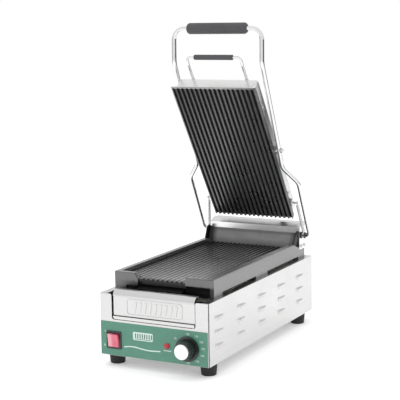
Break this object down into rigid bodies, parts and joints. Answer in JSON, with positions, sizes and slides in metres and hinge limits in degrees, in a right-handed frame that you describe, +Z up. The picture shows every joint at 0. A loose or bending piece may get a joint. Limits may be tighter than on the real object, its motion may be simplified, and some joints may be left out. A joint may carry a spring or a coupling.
{
  "type": "panini press",
  "caption": "Open countertop grill press: steel base with dial and rocker, ribbed cast plates, hinged lid on bent-rod arms with bar handle.",
  "frame": {"origin": "on the worktop, under the centre of the open press's bounding box", "axes": "+X to the right, +Y to the back, +Z up; the controls face -Y"},
  "size_m": [0.2774, 0.562, 0.6854],
  "materials": {
    "brushed_sheet": "brushed stainless sheet",
    "galvanised_sheet": "plain steel sheet",
    "cast_plate": "seasoned cast iron, dark satin",
    "dark_guard": "darkened sheet, satin",
    "control_label": "printed overlay, satin",
    "black_plastic": "moulded, satin",
    "rocker_red": "translucent moulded",
    "lamp_red": "clear red lens",
    "knob_disc": "spun face",
    "chrome_rod": "plated, polished",
    "grip_rubber": "matt grip",
    "foot_rubber": "matt",
    "zinc_fixings": "plated",
    "dark_bushing": "nylon",
    "spring_steel": "spring wire",
    "heater_tube": "heat tinted",
    "insulation": "mineral fibre board",
    "thermostat_case": "pressed case"
  },
  "bodies": {
    "base": {"bottom_cover": "galvanised_sheet", "control_label": "control_label", "cord_gland": "black_plastic", "element_clamps": "galvanised_sheet", "fixing_block_left": "zinc_fixings", "fixing_block_right": "zinc_fixings", "foot_front_left": "foot_rubber", "foot_front_right": "foot_rubber", "foot_rear_left": "foot_rubber", "foot_rear_right": "foot_rubber", "foot_screws": "zinc_fixings", "front_panel": "brushed_sheet", "gland_nut": "black_plastic", "heat_shield": "galvanised_sheet", "hinge_bushing_left": "dark_bushing", "hinge_bushing_right": "dark_bushing", "housing_screws": "zinc_fixings", "lamp_body": "black_plastic", "lamp_lens": "lamp_red", "lower_element": "heater_tube", "lower_insulation": "insulation", "lower_plate": "cast_plate", "plate_screws": "zinc_fixings", "rear_panel": "brushed_sheet", "side_panel_left": "brushed_sheet", "side_panel_right": "brushed_sheet", "splash_guard": "dark_guard", "spring_housing": "brushed_sheet", "switch_housing": "black_plastic", "terminal_block": "black_plastic", "thermostat_body": "thermostat_case", "torsion_spring_left": "spring_steel", "torsion_spring_right": "spring_steel", "tray_shelf": "brushed_sheet"},
    "drip_tray": {"drip_tray": "brushed_sheet"},
    "thermostat_knob": {"thermostat_knob": "black_plastic", "knob_cap": "knob_disc", "thermostat_shaft": "zinc_fixings"},
    "switch_rocker": {"switch_rocker": "rocker_red"},
    "arms": {"arm_frame": "chrome_rod", "handle_grip": "grip_rubber", "arm_spacers": "dark_bushing", "axle_collars": "zinc_fixings"},
    "lid": {"upper_plate": "cast_plate", "upper_cover": "brushed_sheet", "upper_insulation": "insulation", "upper_element": "heater_tube", "pivot_bolts": "zinc_fixings", "pivot_spacers": "zinc_fixings", "small_handle": "chrome_rod", "small_grip": "grip_rubber", "handle_clamps": "zinc_fixings", "clamp_screws": "zinc_fixings", "level_studs": "chrome_rod", "cover_screws": "zinc_fixings", "lid_lead_gland": "black_plastic"},
    "level_springs": {"level_spring_left": "spring_steel", "level_spring_right": "spring_steel"}
  },
  "joints": [
    {"name": "arm_hinge", "type": "hinge", "parent": "base", "child": "arms", "pos_m": [0, 0.233, 0.204], "axis": [1, 0, 0], "range_deg": [0, 64.6]},
    {"name": "lid_pivot", "type": "hinge", "parent": "arms", "child": "lid", "pos_m": [0, 0.12966, 0.40796], "axis": [1, 0, 0], "range_deg": [-9, 0]},
    {"name": "level_spring_swing", "type": "hinge", "parent": "base", "child": "level_springs", "pos_m": [0, 0.233, 0.204], "axis": [1, 0, 0], "range_deg": [0, 82], "deforming": ["level_spring_left", "level_spring_right"]},
    {"name": "tray_slide", "type": "slide", "parent": "base", "child": "drip_tray", "axis": [0, -1, 0], "range_m": [0, 0.06]},
    {"name": "thermostat_turn", "type": "hinge", "parent": "base", "child": "thermostat_knob", "pos_m": [0.0775, -0.266, 0.0575], "axis": [0, 1, 0], "range_deg": [0, 280]},
    {"name": "rocker_tilt", "type": "hinge", "parent": "base", "child": "switch_rocker", "pos_m": [-0.091, -0.247, 0.05675], "axis": [1, 0, 0], "range_deg": [-16, 0]}
  ],
  "couplings": [
    {"joint": "lid_pivot", "follows": "arm_hinge", "ratio": -0.13},
    {"joint": "level_spring_swing", "follows": "arm_hinge", "ratio": 1.253}
  ]
}
